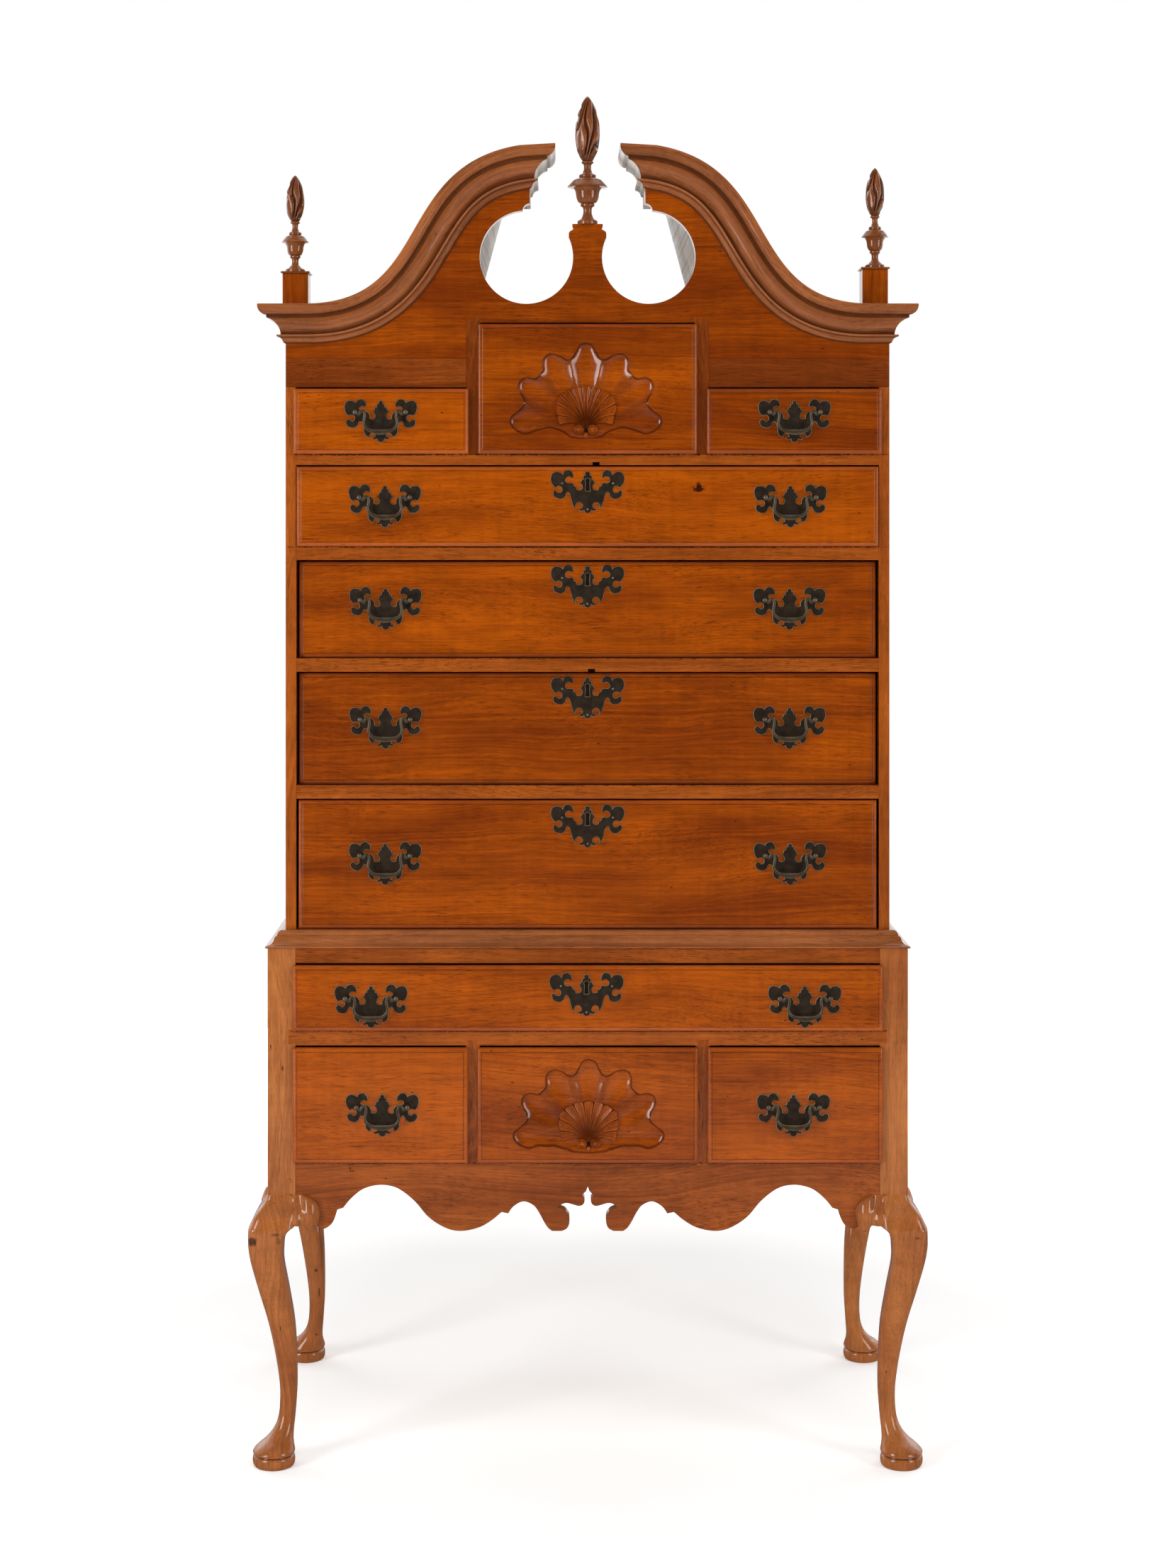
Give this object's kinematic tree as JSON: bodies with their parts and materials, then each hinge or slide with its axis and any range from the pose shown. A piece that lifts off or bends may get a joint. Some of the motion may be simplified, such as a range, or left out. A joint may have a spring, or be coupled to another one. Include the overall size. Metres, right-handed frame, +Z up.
{
  "type": "highboy",
  "caption": "Tall chest of drawers in two cases on cabriole legs, with a broken scroll pediment, flame finials, carved shells and swinging bail pulls.",
  "frame": {"origin": "on the floor under the middle of the chest", "axes": "+Z up, drawer fronts face -Y, +X to the right seen from the front"},
  "size_m": [1.021, 0.564, 2.071],
  "materials": {
    "front_wood": "glossy varnish over figured red-brown hardwood",
    "case_wood": "glossy varnish over red-brown hardwood",
    "moulding_wood": "satin varnish over red-brown hardwood",
    "leg_wood": "glossy varnish over red-brown hardwood, worn paler",
    "inner_wood": "bare aged secondary wood",
    "turned_wood": "dark varnish, turned and carved",
    "pull_brass": "dark aged brass, rubbed brighter on the edges"
  },
  "bodies": {
    "case": {"leg_front_left": "leg_wood", "leg_front_right": "leg_wood", "leg_rear_left": "leg_wood", "leg_rear_right": "leg_wood", "apron": "front_wood", "lower_side_left": "case_wood", "lower_side_right": "case_wood", "lower_back": "inner_wood", "lower_frame": "case_wood", "waist_moulding": "moulding_wood", "upper_frame": "case_wood", "upper_side_left": "case_wood", "upper_side_right": "case_wood", "upper_back": "inner_wood", "upper_top": "inner_wood", "scroll_board": "front_wood", "cornice_left": "moulding_wood", "cornice_right": "moulding_wood", "finial_centre": "turned_wood", "finial_left": "turned_wood", "finial_right": "turned_wood"},
    "drawer_waist": {"drawer_waist": "front_wood", "plate_waist_left": "pull_brass", "plate_waist_right": "pull_brass"},
    "drawer_bottom_left": {"drawer_bottom_left": "front_wood", "plate_bottom_left": "pull_brass"},
    "drawer_bottom_shell": {"drawer_bottom_shell": "front_wood"},
    "drawer_bottom_right": {"drawer_bottom_right": "front_wood", "plate_bottom_right": "pull_brass"},
    "drawer_top_left": {"drawer_top_left": "front_wood", "plate_top_left": "pull_brass"},
    "drawer_top_shell": {"drawer_top_shell": "front_wood"},
    "drawer_top_right": {"drawer_top_right": "front_wood", "plate_top_right": "pull_brass"},
    "drawer_long_1": {"drawer_long_1": "front_wood", "plate_long_1_left": "pull_brass", "plate_long_1_right": "pull_brass"},
    "drawer_long_2": {"drawer_long_2": "front_wood", "plate_long_2_left": "pull_brass", "plate_long_2_right": "pull_brass"},
    "drawer_long_3": {"drawer_long_3": "front_wood", "plate_long_3_left": "pull_brass", "plate_long_3_right": "pull_brass"},
    "drawer_long_4": {"drawer_long_4": "front_wood", "plate_long_4_left": "pull_brass", "plate_long_4_right": "pull_brass"},
    "bail_waist_left": {"bail_waist_left": "pull_brass"},
    "bail_waist_right": {"bail_waist_right": "pull_brass"},
    "bail_bottom_left": {"bail_bottom_left": "pull_brass"},
    "bail_bottom_right": {"bail_bottom_right": "pull_brass"},
    "bail_top_left": {"bail_top_left": "pull_brass"},
    "bail_top_right": {"bail_top_right": "pull_brass"},
    "bail_long_1_left": {"bail_long_1_left": "pull_brass"},
    "bail_long_1_right": {"bail_long_1_right": "pull_brass"},
    "bail_long_2_left": {"bail_long_2_left": "pull_brass"},
    "bail_long_2_right": {"bail_long_2_right": "pull_brass"},
    "bail_long_3_left": {"bail_long_3_left": "pull_brass"},
    "bail_long_3_right": {"bail_long_3_right": "pull_brass"},
    "bail_long_4_left": {"bail_long_4_left": "pull_brass"},
    "bail_long_4_right": {"bail_long_4_right": "pull_brass"}
  },
  "joints": [
    {"name": "slide_waist", "type": "slide", "parent": "case", "child": "drawer_waist", "axis": [0, -1, 0], "range_m": [0, 0.33]},
    {"name": "slide_bottom_left", "type": "slide", "parent": "case", "child": "drawer_bottom_left", "axis": [0, -1, 0], "range_m": [0, 0.33]},
    {"name": "slide_bottom_shell", "type": "slide", "parent": "case", "child": "drawer_bottom_shell", "axis": [0, -1, 0], "range_m": [0, 0.33]},
    {"name": "slide_bottom_right", "type": "slide", "parent": "case", "child": "drawer_bottom_right", "axis": [0, -1, 0], "range_m": [0, 0.33]},
    {"name": "slide_top_left", "type": "slide", "parent": "case", "child": "drawer_top_left", "axis": [0, -1, 0], "range_m": [0, 0.33]},
    {"name": "slide_top_shell", "type": "slide", "parent": "case", "child": "drawer_top_shell", "axis": [0, -1, 0], "range_m": [0, 0.33]},
    {"name": "slide_top_right", "type": "slide", "parent": "case", "child": "drawer_top_right", "axis": [0, -1, 0], "range_m": [0, 0.33]},
    {"name": "slide_long_1", "type": "slide", "parent": "case", "child": "drawer_long_1", "axis": [0, -1, 0], "range_m": [0, 0.33]},
    {"name": "slide_long_2", "type": "slide", "parent": "case", "child": "drawer_long_2", "axis": [0, -1, 0], "range_m": [0, 0.33]},
    {"name": "slide_long_3", "type": "slide", "parent": "case", "child": "drawer_long_3", "axis": [0, -1, 0], "range_m": [0, 0.33]},
    {"name": "slide_long_4", "type": "slide", "parent": "case", "child": "drawer_long_4", "axis": [0, -1, 0], "range_m": [0, 0.33]},
    {"name": "swing_waist_left", "type": "hinge", "parent": "drawer_waist", "child": "bail_waist_left", "pos_m": [-0.326, -0.2739, 0.70865], "axis": [-1, 0, 0], "range_deg": [0, 95]},
    {"name": "swing_waist_right", "type": "hinge", "parent": "drawer_waist", "child": "bail_waist_right", "pos_m": [0.326, -0.2739, 0.70865], "axis": [-1, 0, 0], "range_deg": [0, 95]},
    {"name": "swing_bottom_left", "type": "hinge", "parent": "drawer_bottom_left", "child": "bail_bottom_left", "pos_m": [-0.309, -0.2739, 0.54535], "axis": [-1, 0, 0], "range_deg": [0, 95]},
    {"name": "swing_bottom_right", "type": "hinge", "parent": "drawer_bottom_right", "child": "bail_bottom_right", "pos_m": [0.309, -0.2739, 0.54535], "axis": [-1, 0, 0], "range_deg": [0, 95]},
    {"name": "swing_top_left", "type": "hinge", "parent": "drawer_top_left", "child": "bail_top_left", "pos_m": [-0.313, -0.2489, 1.5896], "axis": [-1, 0, 0], "range_deg": [0, 95]},
    {"name": "swing_top_right", "type": "hinge", "parent": "drawer_top_right", "child": "bail_top_right", "pos_m": [0.313, -0.2489, 1.5896], "axis": [-1, 0, 0], "range_deg": [0, 95]},
    {"name": "swing_long_1_left", "type": "hinge", "parent": "drawer_long_1", "child": "bail_long_1_left", "pos_m": [-0.307, -0.2396, 0.9186], "axis": [-1, 0, 0], "range_deg": [0, 95]},
    {"name": "swing_long_1_right", "type": "hinge", "parent": "drawer_long_1", "child": "bail_long_1_right", "pos_m": [0.307, -0.2396, 0.9186], "axis": [-1, 0, 0], "range_deg": [0, 95]},
    {"name": "swing_long_2_left", "type": "hinge", "parent": "drawer_long_2", "child": "bail_long_2_left", "pos_m": [-0.307, -0.2306, 1.1241], "axis": [-1, 0, 0], "range_deg": [0, 95]},
    {"name": "swing_long_2_right", "type": "hinge", "parent": "drawer_long_2", "child": "bail_long_2_right", "pos_m": [0.307, -0.2306, 1.1241], "axis": [-1, 0, 0], "range_deg": [0, 95]},
    {"name": "swing_long_3_left", "type": "hinge", "parent": "drawer_long_3", "child": "bail_long_3_left", "pos_m": [-0.307, -0.2306, 1.3051], "axis": [-1, 0, 0], "range_deg": [0, 95]},
    {"name": "swing_long_3_right", "type": "hinge", "parent": "drawer_long_3", "child": "bail_long_3_right", "pos_m": [0.307, -0.2306, 1.3051], "axis": [-1, 0, 0], "range_deg": [0, 95]},
    {"name": "swing_long_4_left", "type": "hinge", "parent": "drawer_long_4", "child": "bail_long_4_left", "pos_m": [-0.307, -0.2456, 1.46075], "axis": [-1, 0, 0], "range_deg": [0, 95]},
    {"name": "swing_long_4_right", "type": "hinge", "parent": "drawer_long_4", "child": "bail_long_4_right", "pos_m": [0.307, -0.2456, 1.46075], "axis": [-1, 0, 0], "range_deg": [0, 95]}
  ]
}
